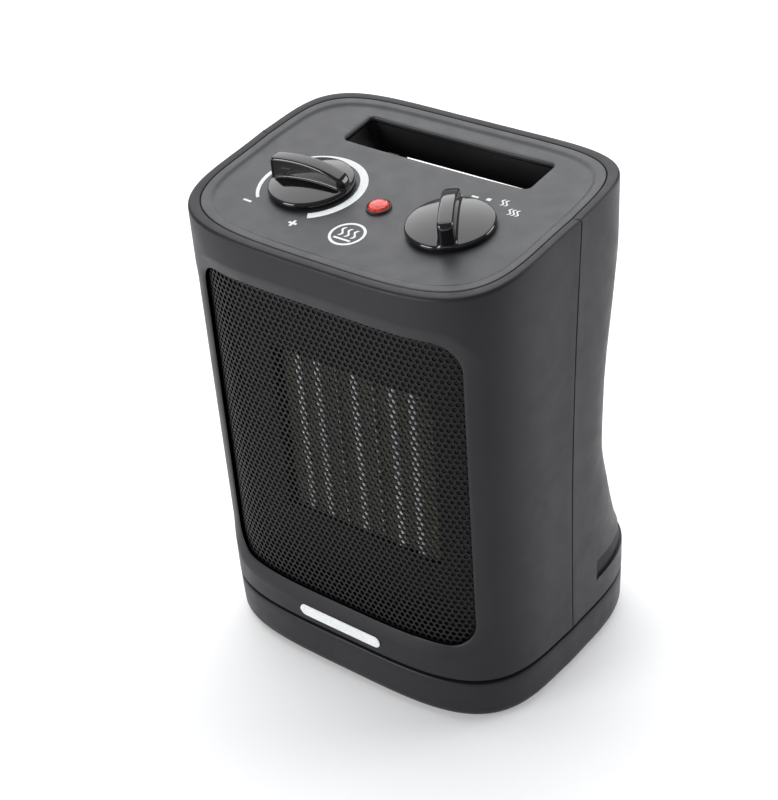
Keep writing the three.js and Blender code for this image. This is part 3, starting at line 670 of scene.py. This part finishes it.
def surface_net(name, field, low, high, step):
    """The surface where field is zero, as quads on a grid, with its points then moved onto that surface."""
    axes = [np.arange(a, b + step, step) for a, b in zip(low, high)]
    grid = np.stack(np.meshgrid(*axes, indexing="ij"), -1)
    value = field(grid.reshape(-1, 3)).reshape(grid.shape[:3])
    inside = value < 0
    cells = np.zeros(tuple(n - 1 for n in inside.shape), int)
    for dx in (0, 1):
        for dy in (0, 1):
            for dz in (0, 1):
                cells += inside[dx:dx + cells.shape[0], dy:dy + cells.shape[1], dz:dz + cells.shape[2]]
    mixed = (cells > 0) & (cells < 8)
    number = -np.ones(cells.shape, int)
    number[mixed] = np.arange(mixed.sum())
    points = grid[:-1, :-1, :-1][mixed] + step / 2
    faces = []
    for axis in range(3):
        b, c = [a for a in range(3) if a != axis]
        first = np.take(inside, range(inside.shape[axis] - 1), axis)
        second = np.take(inside, range(1, inside.shape[axis]), axis)
        spots = np.argwhere(first != second)
        keep = (spots[:, b] > 0) & (spots[:, c] > 0)
        keep &= (spots[:, b] < cells.shape[b]) & (spots[:, c] < cells.shape[c])
        spots = spots[keep]
        eb, ec = np.eye(3, dtype=int)[b], np.eye(3, dtype=int)[c]
        loop = [number[tuple((spots - d).T)] for d in (0 * eb, eb, eb + ec, ec)]
        quads = np.stack(loop, 1)
        faces.append(quads)
    for _ in range(6):
        points = relax(points, np.vstack(faces), 0.5)
        points = settle(points, field, 3)
    return outward(mesh_object(name, points, np.vstack(faces)))


def relax(points, quads, share):
    """Moves each point towards the mean of its neighbours."""
    total = np.zeros_like(points)
    count = np.zeros(len(points))
    for shift in (1, 3):
        other = np.roll(quads, shift, 1)
        np.add.at(total, quads.ravel(), points[other.ravel()])
        np.add.at(count, quads.ravel(), 1)
    return points + (total / count[:, None] - points) * share


def settle(points, field, rounds):
    """Moves points along the field's slope until the field is zero there."""
    step = 0.02
    for _ in range(rounds):
        value = field(points)
        slope = np.stack([(field(points + d) - field(points - d)) / (2 * step) for d in np.eye(3) * step], 1)
        length = np.maximum((slope ** 2).sum(1), 0.05)
        points = points - slope * np.clip(value / length, -0.5, 0.5)[:, None]
    return points


def knob_field(p):
    """Below zero inside a knob: a low domed disc, and a grip bar across it that drops towards its pointer."""
    x, y, z = p.T
    radius = np.hypot(x, y)
    dome = KNOB["skirt"] + (KNOB["dome"] - KNOB["skirt"]) * (1 - (radius / KNOB["radius"]) ** 2)
    disc = smooth_max(radius - KNOB["radius"] + 0.12 * (z - 0.5) / KNOB["skirt"], z - dome, 1.3)
    half = KNOB["bar"] / 2 - 0.06 * (z - KNOB["dome"])
    along = np.clip((y + KNOB["radius"]) / (2 * KNOB["radius"]), 0, 1.1)
    crest = KNOB["height"] - KNOB["drop"] * along ** 3.2 - 1.6 * (1 - along) ** 4 - 0.02 * x * x
    bar = smooth_max(np.abs(x) - half, z - crest, 1.4)
    bar = smooth_max(bar, radius - KNOB["radius"] + 0.1 + 0.07 * z, 3.0)
    whole = smooth_min(disc, bar, 1.0)
    return smooth_max(whole, -z, 0.4)


def make_knob(name, node, pointer, x, material, body):
    reach = KNOB["radius"] + 2
    knob = surface_net(name, knob_field, (-reach, -reach, -2), (reach, reach, KNOB["height"] + 2), 0.55)
    knob.data.transform(Matrix.Translation(Vector((x, KNOB["v"], KNOB["lift"])) * MM)
                        @ Matrix.Rotation(math.radians(pointer), 4, "Z"))
    place_on_panel(knob)
    finish_piece(knob, material, body, (node,), sharp=60)


def make_lamp(lens_material, ring_material):
    """A red lens cut in facets like a reflector, in a thin dark ring."""
    sides = 8
    profile = [(4.9, -3.4, 0), (5.4, -0.6, 0), (5.45, 0.1, 0), (4.6, 1.15, 0.5), (3.0, 1.85, 0),
               (1.4, 2.1, 0.5)]  # radius, height, and turn as a share of a facet
    rings = []
    for radius, height, turn in profile:
        angle = (np.arange(sides) + turn) * 2 * math.pi / sides
        flat = np.column_stack([radius * np.cos(angle), radius * np.sin(angle)])
        rings.append(at_height(flat, height))
    lens = outward(skin("lens", rings))
    lens.data.transform(Matrix.Translation((0, LAMP_V * MM, 0)))
    place_on_panel(lens)
    finish_piece(lens, lens_material, replaces=("lamp_lens",), sharp=1)
    inner, outer = LAMP_RADIUS + GAP, 6.2
    section = [(inner, -0.7), (outer, -0.7), (outer, -0.3), (outer - 0.25, 0.1), (outer - 0.7, 0.3),
               (inner + 0.3, 0.26), (inner, 0.0), (inner, -0.7)]
    bezel = lathe("lens_ring", section, (0, LAMP_V, 0))
    place_on_panel(bezel)
    finish_piece(outward(bezel), ring_material, replaces=("lamp_ring",))


# ---- printed marks: plain signs only, no lettering ----

INK_LOW, INK_HIGH = 0.03, 0.1


def ink_strip(inner, outer):
    """A printed strip between two lines of (x, v) points, as points and faces of a thin closed solid."""
    n = len(inner)
    inner, outer = np.asarray(inner, float), np.asarray(outer, float)
    layers = [dished(*line.T, -lift) for lift in (INK_LOW, INK_HIGH) for line in (inner, outer)]
    points = np.vstack(layers)
    faces = []
    for i in range(n - 1):
        a, b, c, d = i, n + i, 2 * n + i, 3 * n + i
        faces += [[a, b, b + 1, a + 1], [c, c + 1, d + 1, d], [a, a + 1, c + 1, c], [b, d, d + 1, b + 1]]
    faces += [[0, 2 * n, 3 * n, n], [n - 1, 2 * n - 1, 4 * n - 1, 3 * n - 1]]
    return points, faces


def ink_arc(centre, radius, start, end, width_start, width_end=None, steps=96):
    """An arc clockwise from straight back, with its outer edge at radius and a width that may change."""
    a = np.radians(np.linspace(start, end, steps))
    width = np.linspace(width_start, width_start if width_end is None else width_end, steps)
    way = np.column_stack([np.sin(a), np.cos(a)])
    return ink_strip(centre + way * (radius - width)[:, None], centre + way * radius)


def ink_line(start, end, width):
    start, end = np.asarray(start, float), np.asarray(end, float)
    way = (end - start) / np.linalg.norm(end - start)
    side = np.array([-way[1], way[0]]) * width / 2
    return ink_strip([start - side, end - side], [start + side, end + side])


def around(centre, radius, degrees):
    a = math.radians(degrees)
    return np.array(centre) + radius * np.array([math.sin(a), math.cos(a)])


def heat_wave(x, v, height, width=1.15):
    """An upright wavy line, as on a heat symbol."""
    t = np.linspace(0, 1, 24)
    line = np.column_stack([x + 0.95 * np.sin(t * 2 * math.pi), v - height / 2 + height * t])
    return ink_strip(line - [width / 2, 0], line + [width / 2, 0])


def make_marks(material):
    left, right = np.array([-KNOB["x"], KNOB["v"]]), np.array([KNOB["x"], KNOB["v"]])
    radius, widest, thick = SCALE["radius"], SCALE["widest"], SCALE["thick"]
    arm, stroke, clear = 2.4, 1.3, 0.66
    marks = [ink_arc(left, radius, SCALE["start"], widest, SCALE["thin"], thick, 120),
             ink_arc(left, radius, widest, SCALE["end"], thick, steps=60)]
    minus, plus = around(left, 31.5, -139), around(left, 31.0, 158)
    marks.append(ink_line(minus - [arm, 0], minus + [arm, 0], stroke))
    marks.append(ink_line(plus - [arm, 0], plus + [arm, 0], stroke))
    marks.append(ink_line(plus + [0, clear], plus + [0, arm], stroke))
    marks.append(ink_line(plus - [0, arm], plus - [0, clear], stroke))
    marks.append(ink_arc(around(right, 26.3, -26), 0.9, 0, 360, 0.88, steps=24))
    dash = around(right, 26.3, -11)
    marks.append(ink_line(dash - [1.9, -0.3], dash + [1.9, 0.3], stroke))
    dot = around(right, 26.8, 5)
    marks.append(ink_line(dot - [1.2, 0], dot + [1.2, 0], 2.0))
    for degrees, waves in ((22, 2), (42, 3)):
        spot = around(right, 29.3, degrees)
        for i in range(waves):
            marks.append(heat_wave(spot[0] + 2.1 * (i - (waves - 1) / 2), spot[1], 5.0, 1.0))
    symbol = np.array([0.0, -41.5])
    marks.append(ink_arc(symbol, 9.0, 0, 360, 1.35))
    for i in (-1, 0, 1):
        marks.append(heat_wave(symbol[0] + 3.6 * i, symbol[1] + 1.0, 6.6))
    marks.append(ink_line(symbol + [-4.8, -4.3], symbol + [4.8, -4.3], 1.2))
    points, faces = [], []
    for some, sides in marks:
        start = sum(len(p) for p in points)
        points.append(some)
        faces += [[start + i for i in face] for face in sides]
    printed = outward(mesh_object("panel_marks", np.vstack(points), faces))
    finish_piece(printed, material)


# ---- heating element ----

def make_element(bar_material, fin_material):
    low, high = ELEMENT["low"] + GAP, ELEMENT["high"] - GAP
    front = ELEMENT["front"]
    back = front + ELEMENT["depth"]
    half, bevel = 2.0, 0.5
    for i, x in enumerate(BAR_X):
        y = front - 0.5
        section = [(x - half, back), (x - half, y + bevel), (x - half + bevel, y), (x - 0.5, y),
                   (x - 0.3, y + 0.4), (x + 0.3, y + 0.4), (x + 0.5, y), (x + half - bevel, y),
                   (x + half, y + bevel), (x + half, back)]
        rings = [[(px, py, z) for px, py in section] for z in np.linspace(low, high, 12)]
        bar = outward(skin(f"heating_bar_{i + 1}", rings))
        finish_piece(bar, bar_material, replaces=(f"ptc_bar_{i + 1}",))
    clear = half + GAP
    outer, inner = BAR_X[4], BAR_X[3]
    end, middle = outer + 11.5, inner / 2
    banks = [(-end, -outer - clear, None), (-outer + clear, -inner - clear, None),
             (-inner + clear, -clear, -middle)]
    banks += [(-b, -a, None if m is None else -m) for a, b, m in reversed(banks)]
    for i, (x0, x1, plate) in enumerate(banks):
        strips = []
        if plate is None:
            strips.append(folded_fin("fin", x0, x1, low, high))
        else:
            strips.append(folded_fin("fin", x0, plate - 0.6, low, high))
            strips.append(folded_fin("fin", plate + 0.6, x1, low, high))
            strips.append(block("plate", plate - 0.45, plate + 0.45, front, back, low, high))
        bank = gather(f"folded_fins_{i + 1}", strips)
        finish_piece(outward(bank), fin_material, replaces=(f"fin_bank_{i + 1}",))


def folded_fin(name, x0, x1, low, high):
    """A thin sheet folded to and fro between x0 and x1 on its way up."""
    pitch, thick = 3.0, 0.42
    legs = 2 * int((high - low) / pitch)
    y0, y1 = ELEMENT["front"] + 0.4, ELEMENT["front"] + ELEMENT["depth"] - 0.5
    rings = []
    for i in range(legs + 1):
        left = x1 - thick if i % 2 else x0
        z = low + (high - low) * i / legs
        rings.append([(left, y0, z), (left + thick, y0, z), (left + thick, y1, z), (left, y1, z)])
    return skin(name, rings)


# ---- base ----

def make_base(shell_material, plate_material, foot_material, screw_material):
    edge = [base_ring(BASE_BOTTOM + 4.5 * (1 - math.cos(a)), 0.6 + 2.6 * (1 - math.sin(a)))
            for a in FINE_QUARTER]
    shoulder = 23.4
    upper = [base_ring(z, mix(0.6, 0.15, t)) for z, t in ((11, 0.3), (15, 0.6), (19, 0.8), (shoulder, 1))]
    crown = [base_ring(shoulder + 1.2 * math.sin(a), 0.15 + 0.9 * (1 - math.cos(a))) for a in QUARTER[1:]]
    shell = skin("base_body", edge + upper + crown)
    hollow = skin("hollow", [base_ring(0, WALL + 1.2), base_ring(BASE_TOP - WALL, WALL + 0.8)])
    cut(hollow, rod("keep", WELL["radius"] + WALL, 0, 0, WELL["floor"] - WELL["thick"], 60, 128))
    cut(shell, rod("well", WELL["radius"], 0, 0, WELL["floor"], 60, 128), hollow)
    join(shell, rod("post", 5, 0, 0, WELL["floor"] - 1, 32.1))
    for x, y in BASE_SCREWS:
        join(shell, rod("boss", 5, x, y, BASE_BOTTOM + 2.5, BASE_TOP - 1))
        cut(shell, rod("bore", 2.1, x, y, 0, BASE_TOP - 4))
    cut(shell, rod("post_bore", 2.1, 0, 0, WELL["floor"] + 1, 60), rod_y("gland_hole", 5, 0, 13, 60, 100))
    finish_piece(shell, shell_material, "base", ("base_shell",), sharp=30)

    lid = skin("base_lid", [base_ring(BASE_BOTTOM, WALL + 1.6), base_ring(BASE_BOTTOM + 2, WALL + 1.6)])
    for x, y in BASE_SCREWS:
        cut(lid, rod("hole", 2.1, x, y, 0, 9))
    for x, y in FOOT_SPOTS:
        cut(lid, rod("hole", 3, x, y, 0, 9))
    plunger_radius, plunger_y = 3.4, -45
    cut(lid, rod("hole", plunger_radius, 0, plunger_y, 0, 9))
    finish_piece(lid, plate_material, "base", ("base_plate",))

    for i, (x, y) in enumerate(FOOT_SPOTS):
        section = [(0, 0), (7.2, 0), (8.3, 0.25), (8.85, 0.8), (9, 1.4), (9, 2.2), (2.6, 2.2), (2.6, 6.5),
                   (0, 6.5)]
        foot = outward(lathe(f"rubber_foot_{i + 1}", section, (x, y, 0)))
        finish_piece(foot, foot_material, "base", (f"foot_{i + 1}",))
    for i, (x, y) in enumerate(BASE_SCREWS):
        section = [(0, 0.8), (2.4, 0.8), (3.3, 1.1), (3.6, 1.6), (3.6, 2.2), (1.7, 2.2), (1.7, 17), (0, 17)]
        screw = outward(lathe(f"base_bolt_{i + 1}", section, (x, y, 0), 48))
        for long_x, long_y in ((2.2, 0.45), (0.45, 2.2)):
            cut(screw, block("recess", x - long_x, x + long_x, y - long_y, y + long_y, 0, 1.7))
        finish_piece(screw, screw_material, "base", (f"base_screw_{i + 1}",))


def make_housing_screws(material):
    for i in range(len(SCREW_SPOTS)):
        low, high = corners(f"housing_screw_{i + 1}")
        x, _, z = (low + high) / 2
        head = high[1] - 2.2
        section = [(0, low[1]), (1.0, low[1]), (1.6, low[1] + 2), (1.6, head), (3.4, head), (3.4, head + 1.1),
                   (3.0, head + 1.7), (2.0, head + 2.1), (0, head + 2.2)]
        screw = outward(lathe(f"housing_bolt_{i + 1}", section, (x, 0, z), 48, "Y"))
        for long_x, long_z in ((2.1, 0.45), (0.45, 2.1)):
            recess = block("recess", x - long_x, x + long_x, head + 0.9, head + 4, z - long_z, z + long_z)
            cut(screw, recess)
        finish_piece(screw, material, replaces=(f"housing_screw_{i + 1}",))


# ---- materials ----

class Look:
    """A node material with helpers for noise, colour variation, roughness variation and bump."""

    def __init__(self, name, colour, roughness, metallic=0.0):
        self.material = bpy.data.materials.new(name)
        self.material.use_nodes = True
        tree = self.material.node_tree
        self.node, self.link = tree.nodes.new, tree.links.new
        self.shader = tree.nodes["Principled BSDF"]
        self.set("Base Color", (*colour, 1))
        self.set("Roughness", roughness)
        self.set("Metallic", metallic)
        self.colour = colour
        self.roughness = roughness
        self.place = self.node("ShaderNodeTexCoord").outputs["Object"]
        self.last_bump = None

    def set(self, socket, value):
        self.shader.inputs[socket].default_value = value

    def noise(self, size, detail=4.0, stretch=(1, 1, 1)):
        """Noise whose features are about size millimetres across."""
        mapping = self.node("ShaderNodeMapping")
        mapping.inputs["Scale"].default_value = stretch
        self.link(self.place, mapping.inputs["Vector"])
        noise = self.node("ShaderNodeTexNoise")
        noise.inputs["Scale"].default_value = 1 / (size * MM)
        noise.inputs["Detail"].default_value = detail
        self.link(mapping.outputs["Vector"], noise.inputs["Vector"])
        return noise.outputs["Fac"]

    def cells(self, size):
        cell = self.node("ShaderNodeTexVoronoi")
        cell.inputs["Scale"].default_value = 1 / (size * MM)
        self.link(self.place, cell.inputs["Vector"])
        return cell.outputs["Distance"]

    def ramp(self, source, low, high, socket):
        """Feeds a shader socket with values from low to high over the middle of source's range."""
        span = self.node("ShaderNodeMapRange")
        span.inputs["From Min"].default_value, span.inputs["From Max"].default_value = 0.3, 0.7
        span.inputs["To Min"].default_value, span.inputs["To Max"].default_value = low, high
        self.link(source, span.inputs["Value"])
        self.link(span.outputs["Result"], self.shader.inputs[socket])

    def tint(self, source, dark, light, centre=(0.3, 0.7)):
        """Varies the colour between dark and light shares of the base colour."""
        ramp = self.node("ShaderNodeValToRGB")
        for element, share, at in zip(ramp.color_ramp.elements, (dark, light), centre):
            element.position = at
            element.color = (*[min(1, c * share) for c in self.colour], 1)
        self.link(source, ramp.inputs["Fac"])
        self.link(ramp.outputs["Color"], self.shader.inputs["Base Color"])

    def bump(self, source, strength, depth):
        """Adds relief of about depth millimetres."""
        bump = self.node("ShaderNodeBump")
        bump.inputs["Strength"].default_value = strength
        bump.inputs["Distance"].default_value = depth * MM
        self.link(source, bump.inputs["Height"])
        if self.last_bump:
            self.link(self.last_bump, bump.inputs["Normal"])
        self.last_bump = bump.outputs["Normal"]
        self.link(self.last_bump, self.shader.inputs["Normal"])


def moulded_plastic(name, colour, roughness, grain=0.35, relief=0.05, shine=0.5):
    """Satin moulded plastic with a fine spark-eroded grain."""
    spread = 0.05
    look = Look(name, colour, roughness)
    look.set("Specular IOR Level", shine)
    look.tint(look.noise(45, 3), 0.93, 1.07)
    look.ramp(look.noise(9, 5), roughness - spread, roughness + spread, "Roughness")
    look.bump(look.noise(grain, 2), 0.35, relief)
    look.bump(look.noise(grain * 6, 3), 0.12, relief * 2)
    return look


def gloss_plastic(name, colour, roughness=0.08):
    look = Look(name, colour, roughness)
    look.tint(look.noise(20, 3), 0.85, 1.15)
    look.ramp(look.noise(3, 6), roughness * 0.7, roughness * 1.6, "Roughness")
    look.bump(look.noise(6, 2), 0.06, 0.05)
    look.set("Coat Weight", 0.2)
    look.set("Coat Roughness", 0.03)
    return look


def sheet_metal(name, colour, roughness, stretch=(1, 1, 1), metallic=1.0, shine=0.5):
    grain = 1.2
    look = Look(name, colour, roughness, metallic)
    look.set("Specular IOR Level", shine)
    look.tint(look.noise(8, 4, stretch), 0.8, 1.12)
    look.ramp(look.noise(grain, 5, stretch), roughness * 0.75, roughness * 1.35, "Roughness")
    look.bump(look.noise(grain * 0.5, 3, stretch), 0.2, 0.03)
    return look


def make_materials():
    made = {
        "housing": moulded_plastic("housing_satin", (0.0165, 0.0165, 0.0195), 0.42, shine=0.22),
        # painted light: the panel's base colour is about twice the housing's, so the top reads lighter as if
        # lit from above, though panel and housing share one dark grey
        "panel": moulded_plastic("panel_satin_painted_top_light", (0.0315, 0.0325, 0.037), 0.46, 0.3, 0.04),
        "gloss_black": gloss_plastic("knob_gloss", (0.006, 0.006, 0.007)),
        "grille_mesh": sheet_metal("mesh_black", (0.0045, 0.0047, 0.0049), 0.5, metallic=0.0, shine=0.22),
        "inner_plastic": moulded_plastic("inner_matt", (0.008, 0.008, 0.009), 0.6),
        "ptc_aluminium": sheet_metal("bar_aluminium", (0.92, 0.93, 0.95), 0.5, (1, 1, 0.1), 0.1),
        "fin": sheet_metal("fin_dull", (0.5, 0.49, 0.38), 0.5, (1, 1, 1), 0.1),
        "steel": sheet_metal("zinc_steel", (0.5, 0.51, 0.52), 0.34, (1, 1, 0.2)),
        "rubber": moulded_plastic("foot_rubber", (0.012, 0.012, 0.012), 0.85, 0.5, 0.08),
        "cream_plastic": moulded_plastic("device_cream", (0.66, 0.62, 0.52), 0.5),
    }
    lens = gloss_plastic("lens_red", (0.52, 0.04, 0.028), 0.12)
    lens.tint(lens.cells(1.3), 0.55, 1.35, (0.05, 0.6))
    lens.bump(lens.cells(1.5), 0.35, 0.3)
    lens.set("Subsurface Weight", 0.25)
    lens.set("Subsurface Radius", (0.002, 0.0005, 0.0004))
    lens.set("Emission Color", (0.9, 0.05, 0.02, 1))
    lens.set("Emission Strength", 0.12)
    made["lens_red"] = lens
    foam = Look("filter_weave", (0.02, 0.02, 0.022), 0.95)
    foam.tint(foam.cells(1.1), 0.5, 1.6, (0.1, 0.6))
    foam.bump(foam.cells(1.1), 0.8, 0.4)
    made["foam"] = foam
    ink = Look("white_ink", (0.8, 0.82, 0.82), 0.5)
    ink.tint(ink.noise(1.5, 3), 0.92, 1.04)
    ink.bump(ink.noise(0.4, 2), 0.15, 0.02)
    made["badge"] = ink
    made["band"] = moulded_plastic("band_dark", (0.008, 0.008, 0.012), 0.5, shine=0.12)
    return {name: look.material for name, look in made.items()}


# ---- scene ----

def make_stage():
    steps = 24
    line = np.linspace(-FLOOR_HALF, FLOOR_HALF, steps + 1) / MM
    points = [(x, y, 0) for y in line for x in line]
    faces = []
    for j in range(steps):
        for i in range(steps):
            a = j * (steps + 1) + i
            faces.append([a, a + 1, a + steps + 2, a + steps + 1])
    floor = mesh_object("floor", points, faces)
    look = Look("pale_floor", (0.86, 0.86, 0.86), 0.7)
    look.tint(look.noise(400, 2), 0.99, 1.01)
    look.set("Emission Color", (1, 1, 1, 1))
    look.set("Emission Strength", FLOOR_GLOW)
    floor.data.materials.append(look.material)


def make_light(name, place, size, power):
    lamp = bpy.data.lights.new(name, "AREA")
    lamp.shape = "RECTANGLE"
    lamp.size, lamp.size_y = size
    lamp.energy = power
    holder = bpy.data.objects.new(name, lamp)
    holder.location = place
    holder.rotation_mode = "QUATERNION"
    holder.rotation_quaternion = (Vector(LIGHT_TARGET) - Vector(place)).to_track_quat("-Z", "Y")
    bpy.context.scene.collection.objects.link(holder)


def make_camera():
    """Looks down on the front right corner, rolled a little."""
    azimuth, elevation, roll = (math.radians(CAMERA[key]) for key in ("azimuth", "elevation", "roll"))
    back = Vector((math.sin(azimuth) * math.cos(elevation), -math.cos(azimuth) * math.cos(elevation),
                   math.sin(elevation)))
    level = Vector((math.cos(azimuth), math.sin(azimuth), 0))
    upright = back.cross(level)
    right = math.cos(roll) * level + math.sin(roll) * upright
    up = -math.sin(roll) * level + math.cos(roll) * upright
    place = Vector((0, MID_Y, BODY_HEIGHT / 2)) + back * CAMERA["distance"]
    camera = bpy.data.cameras.new("camera")
    camera.lens = CAMERA["lens"]
    camera.sensor_width = 36
    camera.clip_start, camera.clip_end = 0.01, 50
    holder = bpy.data.objects.new("camera", camera)
    holder.rotation_mode = "QUATERNION"
    holder.rotation_quaternion = Matrix((right, up, back)).transposed().to_quaternion()
    holder.location = (place + right * CAMERA["across"] + up * CAMERA["above"]) * MM
    bpy.context.scene.collection.objects.link(holder)
    bpy.context.scene.camera = holder


def make_lights():
    for light in LIGHTS:
        make_light(*light)
    world = bpy.data.worlds.new("studio")
    bpy.context.scene.world = world
    world.use_nodes = True
    world.node_tree.nodes["Background"].inputs["Color"].default_value = SKY_COLOUR
    world.node_tree.nodes["Background"].inputs["Strength"].default_value = SKY_STRENGTH
    bpy.context.scene.view_settings.view_transform = "Standard"


def dress_cad_nodes(materials):
    """Gives every CAD node that still shows the material of its slot."""
    for part in frame["record"]["subparts"]:
        node = frame["nodes"][part["node"]]
        if not node.hide_render:
            for place in node.material_slots:
                place.material = materials[part["material_slot"]]


def main():
    make_camera()
    materials = make_materials()
    make_front_housing(materials["housing"])
    make_rear_housing(materials["housing"], materials["band"])
    make_top_panel(materials["panel"])
    make_handle_pocket(materials["inner_plastic"])
    make_front_grille(materials["grille_mesh"])
    make_rear_grille(materials["housing"])
    make_badge(materials["badge"])
    make_knob("left_dial", "thermostat_knob", THERMOSTAT_POINTER, -KNOB["x"], materials["gloss_black"],
              "thermostat_dial")
    make_knob("right_dial", "mode_knob", MODE_POINTER, KNOB["x"], materials["gloss_black"], "mode_dial")
    make_lamp(materials["lens_red"], materials["inner_plastic"])
    make_marks(materials["badge"])
    make_element(materials["ptc_aluminium"], materials["fin"])
    make_base(materials["housing"], materials["inner_plastic"], materials["rubber"], materials["steel"])
    make_housing_screws(materials["steel"])
    dress_cad_nodes(materials)
    make_stage()
    make_lights()


main()
